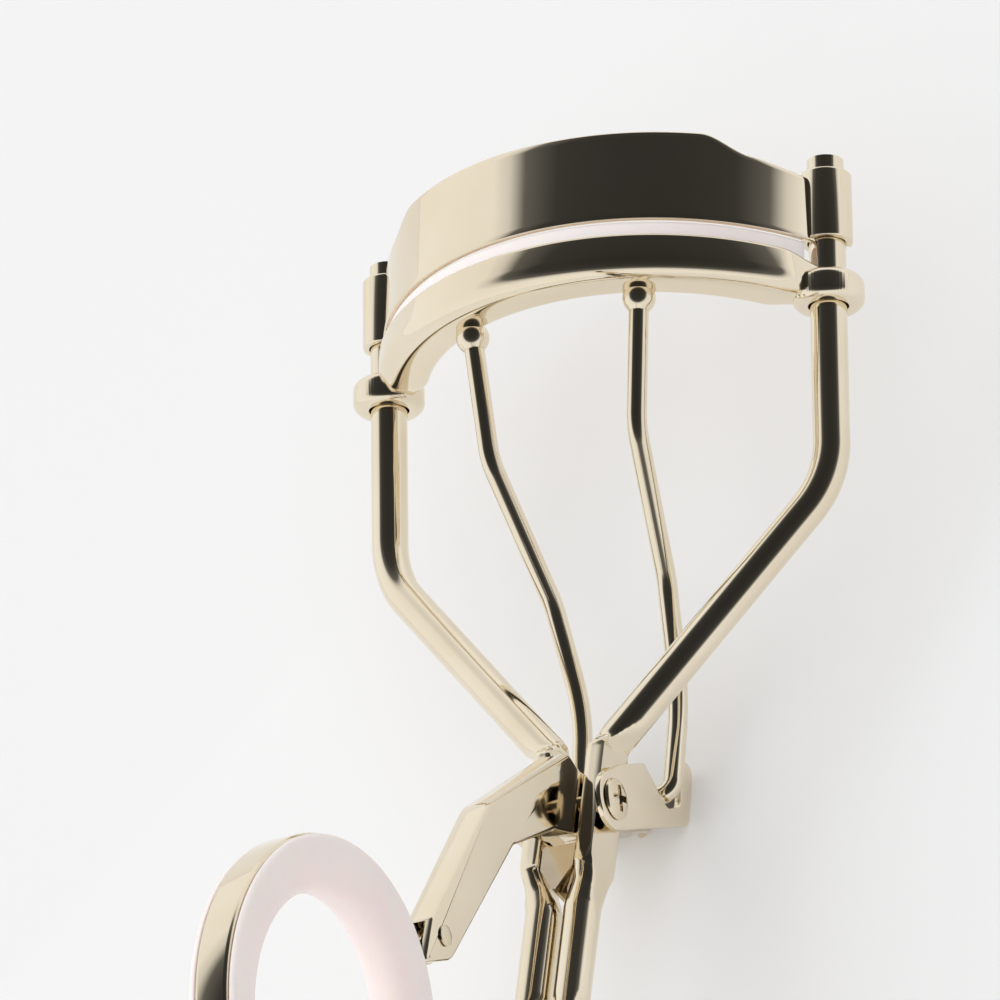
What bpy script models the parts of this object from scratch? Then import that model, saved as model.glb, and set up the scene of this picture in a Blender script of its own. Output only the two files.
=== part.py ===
"""Eyelash curler lying on its back: two bent rails with a fixed upper jaw, a lower jaw that
slides on the rails, a lever with a yoke and link bail that drives it, and two finger rings.

Handle frame (millimetres): x to the right, v along the handle towards the jaws, w to the
front, with the lever's pivot axis at v = w = 0.  Jaw frame: x, u along the rails, f to the
front, with its origin midway between the two eyelets of the closed lower jaw.
"""
import math

import bmesh
import bpy
from mathutils import Vector

MM = 0.001

# ---------------------------------------------------------------- driving dimensions, mm
# rails
RAIL_RADIUS = 1.375
RAIL_HALF_SPACING = 18.6
RAIL_PLANE_W = -1.1
BEND_V = 25.7
BEND_RADIUS = 8.0
JAW_LEAN = math.radians(13.5)
RAIL_TOP_U = 25.75
EYELET_U = 14.9
FLAT_CENTRE_X = 2.2
FLAT_THICKNESS = 1.5
FLAT_TOP_V = 5.5
FLAT_BOTTOM_V = -5.2
LUG_HALF_WIDTH = 2.25
LUG_MIDDLE_W = -1.0
LUG_SPARE = 0.15
ROD_CENTRE_X = 1.6
ROD_START_V = -8.2
ROD_END_V = -22.3
ROD_GRIP_V = -17.2
ROD_GRIP_INNER_X = 1.0
ROD_GRIP_OUTER_X = 2.6

# jaws: heights in the arc frame, which is the jaw frame pitched about the line of the eyelets
JAW_ARC_RISE = 11.88
JAW_PITCH = math.radians(4.0)
BAR_OUTER = 0.85
BAR_INNER = -2.95
BAR_BOTTOM_U = -1.0
BAR_TOP_U = 2.25
GROOVE_FLOOR_U = 1.65
GROOVE_WALL_FRONT = 0.45
GROOVE_WALL_BACK = 0.7
PAD_RISE = 1.3
PAD_END_SETBACK = 2.265
EYELET_RADIUS = 2.7
EYELET_HALF_HEIGHT = 1.2
PLATE_THICKNESS = 0.5
PLATE_TOP_U = 10.9
PLATE_SHOULDER_U = 9.4
PLATE_SHOULDER_X = 12.2
PLATE_SHOULDER_RUN = 2.6
PLATE_END_SETBACK = 0.45
BARREL_WALL = 0.5
BARREL_BOTTOM_U = 3.9
BARREL_TOP_U = 9.5

# link bail
WIRE_RADIUS = 0.75
BALL_RADIUS = 1.1
BALL_X = 6.95
BALL_F = 7.8
BALL_U = -1.4
BAIL_KNEE = (6.15, 28.3, 6.7)
BAIL_WAIST = (4.75, 20.8, -2.2)
BAIL_HEEL_X = 4.0
BAIL_HEEL_RISE = 8.15
BAIL_HEEL_BACK = 0.7
BAIL_HEEL_RADIUS = 11.0
BAIL_FOOT_X = 3.9
BAIL_FOOT_RADIUS = 1.0

# yoke and pivot
EAR_ANGLE = math.radians(-56.2)
EAR_NOSE_RADIUS = 2.2
EAR_TOP = 2.6
EAR_THICKNESS = 0.55
EAR_GAP = 0.4
WEB_THICKNESS = 0.85
FOOT_ALONG = 9.6
FOOT_ACROSS = 0.35
NOTCH_MOUTH_FRONT = 5.9
NOTCH_MOUTH_BACK = 12.1
NOTCH_PLAY = 0.4
SCREW_RADIUS = 0.8
SCREW_HEAD_RADIUS = 1.6
SCREW_HEAD_HEIGHT = 0.42
SCREW_TIP_X = 0.75
RECESS_WIDTH = 0.42
RECESS_REACH = 1.0
RECESS_DEPTH = 0.3

# lever
LEVER_HALF_WIDTH = 1.35
ARM_HALF_WIDTH = 1.15
ARM_START_V = -5.0
ARM_WALL = 0.6
LEVER_HEAD_RADIUS = 2.7
TAIL_TOP = -0.85
TAIL_BOTTOM = -2.1

# spacer block
SPACER_TOP_V = -3.5
SPACER_WAIST_V = -5.4
SPACER_TIP_V = -7.3
SPACER_HALF_DEPTH = 1.3

# finger rings
RING_LONG = 15.5
RING_SHORT = 12.6
BAND_THICKNESS = 1.0
BAND_HALF_WIDTH = 1.3
GRIP_HALF_WIDTH = 1.9
GRIP_THICKNESS = 4.1
GRIP_INSET = 0.15
LEVER_RIVET_PLACE = (-21.362, 15.946)
LEVER_RING_TILT = math.radians(-34.0)
THUMB_RING_GAP = 0.7
TAB_HALF_WIDTH = 1.0
THUMB_TAB_REACH = 4.6
LEVER_TAB_REACH = 5.6
LEVER_TAB_ACROSS = -2.55
RIVET_RADIUS = 0.45
RIVET_HEAD_RADIUS = 0.8
RIVET_HEAD_HEIGHT = 0.25
YOKE_RIVET_REACH = 0.6
YOKE_RIVET_ACROSS = -1.95
YOKE_RIVET_SINK = 0.08

# resting pose
REST_TILT = math.radians(4.1)

# named clearances
RUNNING_FIT = 0.1
PIVOT_FIT = 0.08
SEAT_GAP = 0.06
SIDE_GAP = 0.1
PAD_CONTACT_GAP = 0.06

# facets
ARC_STEPS = 32
OVAL_STEPS = 48
ROUND_SEGMENTS = 24
WIRE_SIDES = 5

# ---------------------------------------------------------------- derived values
EAR_INNER_X = FLAT_CENTRE_X + FLAT_THICKNESS / 2 + EAR_GAP
EAR_OUTER_X = EAR_INNER_X + EAR_THICKNESS
FLAT_INNER_X = FLAT_CENTRE_X - FLAT_THICKNESS / 2
FLAT_OUTER_X = FLAT_CENTRE_X + FLAT_THICKNESS / 2
JAW_ARC_RADIUS = (RAIL_HALF_SPACING ** 2 + JAW_ARC_RISE ** 2) / (2 * JAW_ARC_RISE)
ARC_CENTRE_F = JAW_ARC_RISE - JAW_ARC_RADIUS
PAD_HALF_ANGLE = math.asin(RAIL_HALF_SPACING / JAW_ARC_RADIUS) - PAD_END_SETBACK / JAW_ARC_RADIUS
PAD_TOP_U = BAR_TOP_U + PAD_RISE
THUMB_RING_V = ROD_END_V - THUMB_RING_GAP - RING_LONG
PLATE_BOTTOM_U = PAD_TOP_U + PAD_CONTACT_GAP
REST_LEVEL = (RAIL_PLANE_W * math.cos(REST_TILT) - THUMB_RING_V * math.sin(REST_TILT)
              - math.hypot(RING_LONG * math.sin(REST_TILT), RING_SHORT * math.cos(REST_TILT)))
REAR_Y = (THUMB_RING_V * math.cos(REST_TILT) + RAIL_PLANE_W * math.sin(REST_TILT)
          - math.hypot(RING_LONG * math.cos(REST_TILT), RING_SHORT * math.sin(REST_TILT)))
FRONT_Y = (BEND_V * math.cos(REST_TILT) + RAIL_PLANE_W * math.sin(REST_TILT)
           + RAIL_TOP_U * math.cos(JAW_LEAN - REST_TILT)
           + RAIL_RADIUS * math.sin(JAW_LEAN - REST_TILT))
SIDE = (math.pi / 2, 0.0, math.pi / 2)
PLAN = (math.pi / 2, 0.0, 0.0)

# ---------------------------------------------------------------- scene and helpers
for old in list(bpy.data.objects):
    bpy.data.objects.remove(old, do_unlink=True)

parts = bpy.data.collections.new("eyelash_curler")
cutters = bpy.data.collections.new("cutters")
bpy.context.scene.collection.children.link(parts)
bpy.context.scene.collection.children.link(cutters)


def datum(name, parent=None, v=0.0, w=0.0, turn=0.0):
    """An empty that carries a frame: moved in the v-w plane and turned about x."""
    empty = bpy.data.objects.new(name, None)
    empty.location = (0.0, v * MM, w * MM)
    empty.rotation_euler = (turn, 0.0, 0.0)
    empty.parent = parent
    cutters.objects.link(empty)
    return empty


def metal(name, colour, roughness):
    material = bpy.data.materials.new(name)
    material.use_nodes = True
    shader = material.node_tree.nodes["Principled BSDF"]
    shader.inputs["Base Color"].default_value = (*colour, 1.0)
    shader.inputs["Roughness"].default_value = roughness
    shader.inputs["Metallic"].default_value = 1.0
    return material


def rubber(name, colour):
    material = bpy.data.materials.new(name)
    material.use_nodes = True
    shader = material.node_tree.nodes["Principled BSDF"]
    shader.inputs["Base Color"].default_value = (*colour, 1.0)
    shader.inputs["Roughness"].default_value = 0.5
    shader.inputs["Metallic"].default_value = 0.0
    return material


CHAMPAGNE = (0.78, 0.67, 0.47)
PALE_PINK = (0.93, 0.80, 0.78)
BLUSH_WHITE = (0.95, 0.89, 0.88)


def add(name, data, parent, material=None, location=(0.0, 0.0, 0.0), turn=(0.0, 0.0, 0.0)):
    """Link an object: into the parts if it has a material, otherwise as a hidden cutter."""
    piece = bpy.data.objects.new(name, data)
    piece.parent = parent
    piece.location = [value * MM for value in location]
    piece.rotation_euler = turn
    if material is None:
        cutters.objects.link(piece)
        piece.hide_render = True
        piece.display_type = 'WIRE'
    else:
        parts.objects.link(piece)
        data.materials.append(material)
    return piece


def as_mesh(piece):
    """Turn a curve object into a closed mesh object that can be cut and joined."""
    bpy.context.view_layer.update()
    evaluated = piece.evaluated_get(bpy.context.evaluated_depsgraph_get())
    mesh = bpy.data.meshes.new_from_object(evaluated)
    mesh.name = piece.name
    shape = bmesh.new()
    shape.from_mesh(mesh)
    bmesh.ops.remove_doubles(shape, verts=shape.verts, dist=0.000001)
    shape.to_mesh(mesh)
    shape.free()
    solid = bpy.data.objects.new(piece.name, mesh)
    solid.hide_render = piece.hide_render
    solid.display_type = piece.display_type
    solid.parent = piece.parent
    solid.location = piece.location
    solid.rotation_euler = piece.rotation_euler
    piece.users_collection[0].objects.link(solid)
    name = piece.name
    bpy.data.objects.remove(piece, do_unlink=True)
    solid.name = name
    return solid


def slab(name, outlines, thickness, parent, material=None, location=(0.0, 0.0, 0.0), turn=SIDE):
    """Flat closed outlines, extruded equally to both sides of their own plane."""
    curve = bpy.data.curves.new(name, 'CURVE')
    curve.dimensions = '2D'
    curve.fill_mode = 'BOTH'
    curve.extrude = thickness / 2 * MM
    for outline in outlines:
        spline = curve.splines.new('POLY')
        spline.points.add(len(outline) - 1)
        for point, (first, second) in zip(spline.points, outline):
            point.co = (first * MM, second * MM, 0.0, 1.0)
        spline.use_cyclic_u = True
    return as_mesh(add(name, curve, parent, material, location, turn))


def wire(name, path, radius, parent, material=None):
    """A round wire with flat ends along a path of (x, v, w) points."""
    curve = bpy.data.curves.new(name, 'CURVE')
    curve.dimensions = '3D'
    curve.bevel_depth = radius * MM
    curve.bevel_resolution = WIRE_SIDES
    curve.use_fill_caps = True
    spline = curve.splines.new('POLY')
    spline.points.add(len(path) - 1)
    for point, place in zip(spline.points, path):
        point.co = (place[0] * MM, place[1] * MM, place[2] * MM, 1.0)
    return as_mesh(add(name, curve, parent, material))


def drum(name, radius, length, parent, material=None, location=(0.0, 0.0, 0.0), along='X', top=None):
    """A round bar or cone along the first (X), second (U) or third (W) axis of its parent."""
    mesh = bpy.data.meshes.new(name)
    shape = bmesh.new()
    end = radius if top is None else top
    bmesh.ops.create_cone(shape, cap_ends=True, segments=ROUND_SEGMENTS, radius1=radius * MM,
                          radius2=end * MM, depth=length * MM)
    shape.to_mesh(mesh)
    shape.free()
    turn = {'X': (0.0, math.pi / 2, 0.0), 'U': (-math.pi / 2, 0.0, 0.0), 'W': (0.0, 0.0, 0.0)}[along]
    return add(name, mesh, parent, material, location, turn)


def block(name, size, parent, location=(0.0, 0.0, 0.0), turn=(0.0, 0.0, 0.0)):
    mesh = bpy.data.meshes.new(name)
    shape = bmesh.new()
    bmesh.ops.create_cube(shape, size=1.0)
    bmesh.ops.scale(shape, vec=[value * MM for value in size], verts=shape.verts)
    shape.to_mesh(mesh)
    shape.free()
    return add(name, mesh, parent, None, location, turn)


def ball(name, radius, parent, material=None, location=(0.0, 0.0, 0.0)):
    mesh = bpy.data.meshes.new(name)
    shape = bmesh.new()
    bmesh.ops.create_uvsphere(shape, u_segments=18, v_segments=10, radius=radius * MM)
    shape.to_mesh(mesh)
    shape.free()
    return add(name, mesh, parent, material, location)


def combine(piece, other, operation):
    modifier = piece.modifiers.new(other.name, 'BOOLEAN')
    modifier.operation = operation
    modifier.object = other


def join(piece, *others):
    for other in others:
        combine(piece, other, 'UNION')


def cut(piece, *others):
    for other in others:
        combine(piece, other, 'DIFFERENCE')


def soften(piece, width, segments=2):
    """A small rounded edge on every sharp corner."""
    bevel = piece.modifiers.new("edge", 'BEVEL')
    bevel.width = width * MM
    bevel.segments = segments
    bevel.limit_method = 'ANGLE'
    bevel.angle_limit = math.radians(40)


def rounded(points, radii, steps=6):
    """Replace each inner corner of an open path by an arc of the given radius."""
    corners = [Vector(point) for point in points]
    path = [corners[0]]
    for before, corner, after, radius in zip(corners, corners[1:], corners[2:], radii):
        back = (before - corner).normalized()
        ahead = (after - corner).normalized()
        half = back.angle(ahead) / 2
        setback = radius / math.tan(half)
        centre = corner + (back + ahead).normalized() * (radius / math.sin(half))
        start = corner + back * setback - centre
        finish = corner + ahead * setback - centre
        sweep = start.angle(finish)
        for step in range(steps + 1):
            share = step / steps
            spoke = (start * math.sin((1 - share) * sweep) + finish * math.sin(share * sweep))
            path.append(centre + spoke / math.sin(sweep))
    path.append(corners[-1])
    return [tuple(point) for point in path]


def rounded_outline(points, radii, steps=5):
    """The same for a closed outline of (first, second) points, one radius for each corner."""
    loop = [points[-1], *points, points[0]]
    path = rounded([(first, second, 0.0) for first, second in loop], radii, steps)
    return [(point[0], point[1]) for point in path[1:-1]]


def swept(name, section, half_angle, material=None):
    """A closed (radius, height) section swept to both sides about the jaw arc's centre."""
    mesh = bpy.data.meshes.new(name)
    shape = bmesh.new()
    sine, cosine = math.sin(-half_angle), math.cos(-half_angle)
    corners = [shape.verts.new((radius * sine * MM, height * MM, (ARC_CENTRE_F + radius * cosine) * MM))
               for radius, height in section]
    face = shape.faces.new(corners)
    bmesh.ops.spin(shape, geom=[face], cent=(0.0, 0.0, ARC_CENTRE_F * MM), axis=(0.0, 1.0, 0.0),
                   angle=2 * half_angle, steps=ARC_STEPS)
    bmesh.ops.recalc_face_normals(shape, faces=shape.faces)
    shape.to_mesh(mesh)
    shape.free()
    return add(name, mesh, arc_frame, material)


def oval(long_half, short_half):
    """Ellipse outline with its long axis along the first direction."""
    angles = [2 * math.pi * step / OVAL_STEPS for step in range(OVAL_STEPS)]
    return [(long_half * math.cos(a), short_half * math.sin(a)) for a in angles]


def ear_point(along, across):
    """Handle-frame (v, w) of a point given along and across the ear."""
    return (along * math.cos(EAR_ANGLE) - across * math.sin(EAR_ANGLE),
            along * math.sin(EAR_ANGLE) + across * math.cos(EAR_ANGLE))


def rail_point(u):
    """Handle-frame (v, w) of the rail's centre line at u above its bend."""
    return (BEND_V + u * math.cos(JAW_LEAN), RAIL_PLANE_W + u * math.sin(JAW_LEAN))


frame = datum("curler_frame")
eyelet_v, eyelet_w = rail_point(EYELET_U)
jaw_frame = datum("jaw_frame", frame, eyelet_v, eyelet_w, JAW_LEAN)
arc_frame = datum("arc_frame", jaw_frame, turn=-JAW_PITCH)


# ---------------------------------------------------------------- rails
def make_rail(name, side):
    """One wire from the top of the jaw rail through the flattened pivot lug to the ring."""
    top_v, top_w = rail_point(RAIL_TOP_U)
    path = rounded([(side * RAIL_HALF_SPACING, top_v, top_w),
                    (side * RAIL_HALF_SPACING, BEND_V, RAIL_PLANE_W),
                    (side * FLAT_CENTRE_X, FLAT_TOP_V, RAIL_PLANE_W),
                    (side * FLAT_CENTRE_X, FLAT_BOTTOM_V, RAIL_PLANE_W),
                    (side * ROD_CENTRE_X, ROD_START_V, RAIL_PLANE_W),
                    (side * ROD_CENTRE_X, ROD_END_V, RAIL_PLANE_W)],
                   [BEND_RADIUS, 3.0, 3.0, 3.0])
    rail = wire(name, path, RAIL_RADIUS, frame, metal(name, CHAMPAGNE, 0.12))
    lug = slab(name + "_lug",
               [rounded_outline([(FLAT_TOP_V - 0.6, LUG_MIDDLE_W - LUG_HALF_WIDTH),
                                 (FLAT_TOP_V - 0.6, LUG_MIDDLE_W + LUG_HALF_WIDTH),
                                 (FLAT_BOTTOM_V, LUG_MIDDLE_W + LUG_HALF_WIDTH),
                                 (FLAT_BOTTOM_V, LUG_MIDDLE_W - LUG_HALF_WIDTH)],
                                [1.6, 1.6, 1.6, 1.6])],
               FLAT_THICKNESS + 2 * LUG_SPARE, frame, None, (side * FLAT_CENTRE_X, 0.0, 0.0))
    join(rail, lug)
    reach = 3.0
    flat_length = FLAT_TOP_V - FLAT_BOTTOM_V
    flat_middle = (FLAT_TOP_V + FLAT_BOTTOM_V) / 2
    inner = block(name + "_inner_flat", (reach, flat_length, 8.0), frame,
                  (side * (FLAT_INNER_X - reach / 2), flat_middle, RAIL_PLANE_W))
    outer = block(name + "_outer_flat", (reach, flat_length, 8.0), frame,
                  (side * (FLAT_OUTER_X + reach / 2), flat_middle, RAIL_PLANE_W))
    grip_length = ROD_GRIP_V - ROD_END_V + 2.0
    grip_middle = ROD_GRIP_V - grip_length / 2
    grip_inner = block(name + "_grip_inner", (reach, grip_length, 8.0), frame,
                       (side * (ROD_GRIP_INNER_X - reach / 2), grip_middle, RAIL_PLANE_W))
    grip_outer = block(name + "_grip_outer", (reach, grip_length, 8.0), frame,
                       (side * (ROD_GRIP_OUTER_X + reach / 2), grip_middle, RAIL_PLANE_W))
    bore = drum(name + "_pivot_bore", SCREW_RADIUS + PIVOT_FIT, 12.0, frame)
    rivet_bore = drum(name + "_rivet_bore", RIVET_RADIUS + SEAT_GAP, 12.0, frame, None,
                      (0.0, thumb_rivet_v, RAIL_PLANE_W))
    cut(rail, inner, outer, grip_inner, grip_outer, bore, rivet_bore)


thumb_rivet_v = THUMB_RING_V + RING_LONG + THUMB_TAB_REACH - TAB_HALF_WIDTH
for rail_name, rail_side in (("left_rail", -1), ("right_rail", 1)):
    make_rail(rail_name, rail_side)


# ---------------------------------------------------------------- spacer between the flats
def make_spacer():
    """Pentagonal block that fills the gap between the rails just below the lever's head."""
    half = FLAT_INNER_X - SIDE_GAP
    outline = [(-half, SPACER_TOP_V), (half, SPACER_TOP_V), (half, SPACER_WAIST_V),
               (0.12, SPACER_TIP_V), (-0.12, SPACER_TIP_V), (-half, SPACER_WAIST_V)]
    spacer = slab("spacer_block", [outline], 2 * SPACER_HALF_DEPTH, frame,
                  metal("spacer_block", CHAMPAGNE, 0.2), (0.0, 0.0, RAIL_PLANE_W + 0.35),
                  (0.0, 0.0, 0.0))
    for side in (-1, 1):
        rod = wire(f"spacer_relief_{side}",
                   [(side * FLAT_CENTRE_X, FLAT_BOTTOM_V + 0.3, RAIL_PLANE_W),
                    (side * FLAT_CENTRE_X, FLAT_BOTTOM_V, RAIL_PLANE_W),
                    (side * ROD_CENTRE_X, ROD_START_V, RAIL_PLANE_W)],
                   RAIL_RADIUS + SIDE_GAP + 0.05, frame)
        cut(spacer, rod)


make_spacer()


# ---------------------------------------------------------------- jaws
def make_upper_jaw():
    """Thin arched plate with a stepped top edge whose ends are rolled round the rails."""
    inner = JAW_ARC_RADIUS
    outer = JAW_ARC_RADIUS + PLATE_THICKNESS
    end_angle = math.asin((RAIL_HALF_SPACING - PLATE_END_SETBACK) / inner)
    section = [(inner, PLATE_BOTTOM_U), (outer, PLATE_BOTTOM_U), (outer, PLATE_TOP_U),
               (inner, PLATE_TOP_U)]
    jaw = swept("upper_jaw", section, end_angle, metal("upper_jaw", CHAMPAGNE, 0.1))
    reach = RAIL_HALF_SPACING + 6.0
    for side in (-1, 1):
        run = PLATE_SHOULDER_X + PLATE_SHOULDER_RUN
        shoulder = rounded_outline([(side * (PLATE_SHOULDER_X - 1.0), PLATE_TOP_U + 3.0),
                                    (side * PLATE_SHOULDER_X, PLATE_TOP_U - 0.1),
                                    (side * run, PLATE_SHOULDER_U),
                                    (side * reach, PLATE_SHOULDER_U - 1.5),
                                    (side * reach, PLATE_TOP_U + 3.0)],
                                   [0.3, 1.0, 3.0, 0.3, 0.3])
        cut(jaw, slab(f"shoulder_{side}", [shoulder], 60.0, arc_frame, None, turn=(0.0, 0.0, 0.0)))
    barrel_height = BARREL_TOP_U - BARREL_BOTTOM_U
    barrel_middle = (BARREL_TOP_U + BARREL_BOTTOM_U) / 2
    for side in (-1, 1):
        place = (side * RAIL_HALF_SPACING, barrel_middle, 0.0)
        barrel = drum(f"barrel_{side}", RAIL_RADIUS + SEAT_GAP + BARREL_WALL, barrel_height,
                      jaw_frame, None, place, 'U')
        bore = drum(f"barrel_bore_{side}", RAIL_RADIUS + SEAT_GAP, barrel_height + 20.0,
                    jaw_frame, None, place, 'U')
        join(jaw, barrel)
        cut(jaw, bore)


def make_lower_jaw():
    """Arched bar with a groove for the pad, a ball socket below, and an eyelet at each end."""
    inner = JAW_ARC_RADIUS + BAR_INNER
    outer = JAW_ARC_RADIUS + BAR_OUTER
    end_angle = math.asin(RAIL_HALF_SPACING / JAW_ARC_RADIUS)
    section = rounded_outline([(inner, BAR_BOTTOM_U), (outer, BAR_BOTTOM_U), (outer, BAR_TOP_U),
                               (outer - GROOVE_WALL_FRONT, BAR_TOP_U),
                               (outer - GROOVE_WALL_FRONT, GROOVE_FLOOR_U),
                               (inner + GROOVE_WALL_BACK, GROOVE_FLOOR_U),
                               (inner + GROOVE_WALL_BACK, BAR_TOP_U), (inner, BAR_TOP_U)],
                              [0.5, 1.2, 0.25, 0.12, 0.05, 0.05, 0.15, 0.25], 3)
    jaw = swept("lower_jaw", section, end_angle, metal("lower_jaw", CHAMPAGNE, 0.1))
    for side in (-1, 1):
        place = (side * RAIL_HALF_SPACING, 0.0, 0.0)
        eyelet = drum(f"eyelet_{side}", EYELET_RADIUS, 2 * EYELET_HALF_HEIGHT, jaw_frame, None,
                      place, 'U')
        soften(eyelet, 0.5)
        bore = drum(f"eyelet_bore_{side}", RAIL_RADIUS + RUNNING_FIT, 40.0, jaw_frame, None,
                    place, 'U')
        socket = ball(f"socket_{side}", BALL_RADIUS + RUNNING_FIT, jaw_frame, None,
                      (side * BALL_X, BALL_U, BALL_F))
        join(jaw, eyelet)
        cut(jaw, bore, socket)


def make_pad():
    """Silicone strip that sits in the lower jaw's groove and meets the upper jaw's edge."""
    inner = JAW_ARC_RADIUS + BAR_INNER + GROOVE_WALL_BACK + SEAT_GAP
    outer = JAW_ARC_RADIUS + BAR_OUTER - GROOVE_WALL_FRONT - SEAT_GAP
    bottom = GROOVE_FLOOR_U + SEAT_GAP
    section = rounded_outline([(inner, bottom), (outer, bottom), (outer, PAD_TOP_U),
                               (inner, PAD_TOP_U)], [0.1, 0.1, 0.35, 0.35], 3)
    swept("lash_pad", section, PAD_HALF_ANGLE, rubber("lash_pad", BLUSH_WHITE))


make_upper_jaw()
make_lower_jaw()
make_pad()


# ---------------------------------------------------------------- link bail and its balls
def jaw_to_handle(u, f):
    return (eyelet_v + u * math.cos(JAW_LEAN) - f * math.sin(JAW_LEAN),
            eyelet_w + u * math.sin(JAW_LEAN) + f * math.cos(JAW_LEAN))


def make_bail():
    """One bent wire: down from each ball, in and back to the ears, and across under both."""
    ball_v, ball_w = jaw_to_handle(BALL_U, BALL_F)
    foot_v, foot_w = ear_point(FOOT_ALONG, FOOT_ACROSS)
    half = [(BALL_X, ball_v, ball_w),
            BAIL_KNEE,
            BAIL_WAIST,
            (BAIL_HEEL_X, foot_v + BAIL_HEEL_RISE, foot_w + BAIL_HEEL_BACK),
            (BAIL_FOOT_X, foot_v, foot_w)]
    mirrored = [(-x, v, w) for x, v, w in reversed(half)]
    path = rounded(half + mirrored, [4.0, 6.0, BAIL_HEEL_RADIUS, BAIL_FOOT_RADIUS,
                                      BAIL_FOOT_RADIUS, BAIL_HEEL_RADIUS, 6.0, 4.0], 5)
    wire("link_bail", path, WIRE_RADIUS, frame, metal("link_bail", CHAMPAGNE, 0.12))
    for name, side in (("left_link_ball", -1), ("right_link_ball", 1)):
        collar = ball(name, BALL_RADIUS, jaw_frame, metal(name, CHAMPAGNE, 0.15),
                      (side * BALL_X, BALL_U, BALL_F))
        stub = wire(name + "_bore",
                    [(side * BALL_X, ball_v + 0.4, ball_w - 0.04),
                     (side * BALL_X, ball_v, ball_w),
                     (side * BAIL_KNEE[0], BAIL_KNEE[1], BAIL_KNEE[2])],
                    WIRE_RADIUS + SEAT_GAP, frame)
        cut(collar, stub)


make_bail()


# ---------------------------------------------------------------- yoke
def rest_point(across, inset=0.0):
    """Point of the ear frame line 'across' that lies 'inset' inside the resting plane."""
    level = REST_LEVEL + inset
    along = ((level - across * math.cos(EAR_ANGLE - REST_TILT))
             / math.sin(EAR_ANGLE - REST_TILT))
    return ear_point(along, across)


def make_yoke():
    """Two notched ears outside the rails, joined behind them by a flat web."""
    nose = [ear_point(EAR_NOSE_RADIUS * math.cos(a), EAR_NOSE_RADIUS * math.sin(a))
            for a in [math.radians(90 + 180 * step / 14) for step in range(15)]]
    corners = [(*nose[-1], 0.0), (*rest_point(-EAR_NOSE_RADIUS), 0.0), (*rest_point(EAR_TOP), 0.0),
               (*ear_point(EAR_NOSE_RADIUS, EAR_TOP), 0.0), (*nose[0], 0.0)]
    outline = nose[:-1] + [point[:2] for point in rounded(corners, [0.9, 1.5, 1.5])[:-1]]
    width = 2 * EAR_OUTER_X
    yoke = slab("yoke", [outline], width, frame, metal("yoke", CHAMPAGNE, 0.12))
    hollow = slab("yoke_hollow", [[rest_point(-30.0, WEB_THICKNESS), rest_point(30.0, WEB_THICKNESS),
                                   (60.0, 0.0), (-60.0, 60.0)]], 2 * EAR_INNER_X, frame)
    floor = WIRE_RADIUS + NOTCH_PLAY
    notch = [ear_point(NOTCH_MOUTH_BACK, EAR_TOP + 0.3), ear_point(NOTCH_MOUTH_FRONT, EAR_TOP + 0.3),
             ear_point(FOOT_ALONG - 1.05 * floor, FOOT_ACROSS - floor),
             ear_point(FOOT_ALONG + 0.75 * floor, FOOT_ACROSS - floor)]
    notch_cut = slab("yoke_notch", [rounded_outline(notch, [0.1, 0.1, 0.8, 0.8])],
                     width + 2.0, frame)
    bore = drum("yoke_bore", SCREW_RADIUS + SEAT_GAP, 20.0, frame)
    rivet_bore = drum("yoke_rivet_bore", RIVET_RADIUS + SEAT_GAP, 6.0, web_frame, None,
                      (0.0, yoke_rivet_y, REST_LEVEL), 'W')
    cut(yoke, hollow, notch_cut, bore, rivet_bore)


web_frame = datum("web_frame", frame, turn=REST_TILT)
tail_v, tail_w = rest_point(YOKE_RIVET_ACROSS)
yoke_rivet_y = tail_v * math.cos(REST_TILT) + tail_w * math.sin(REST_TILT)
make_yoke()
length = WEB_THICKNESS + YOKE_RIVET_REACH - YOKE_RIVET_SINK
drum("yoke_rivet", RIVET_RADIUS, length, web_frame, metal("yoke_rivet", CHAMPAGNE, 0.15),
     (0.0, yoke_rivet_y, REST_LEVEL + YOKE_RIVET_SINK + length / 2), 'W')


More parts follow.
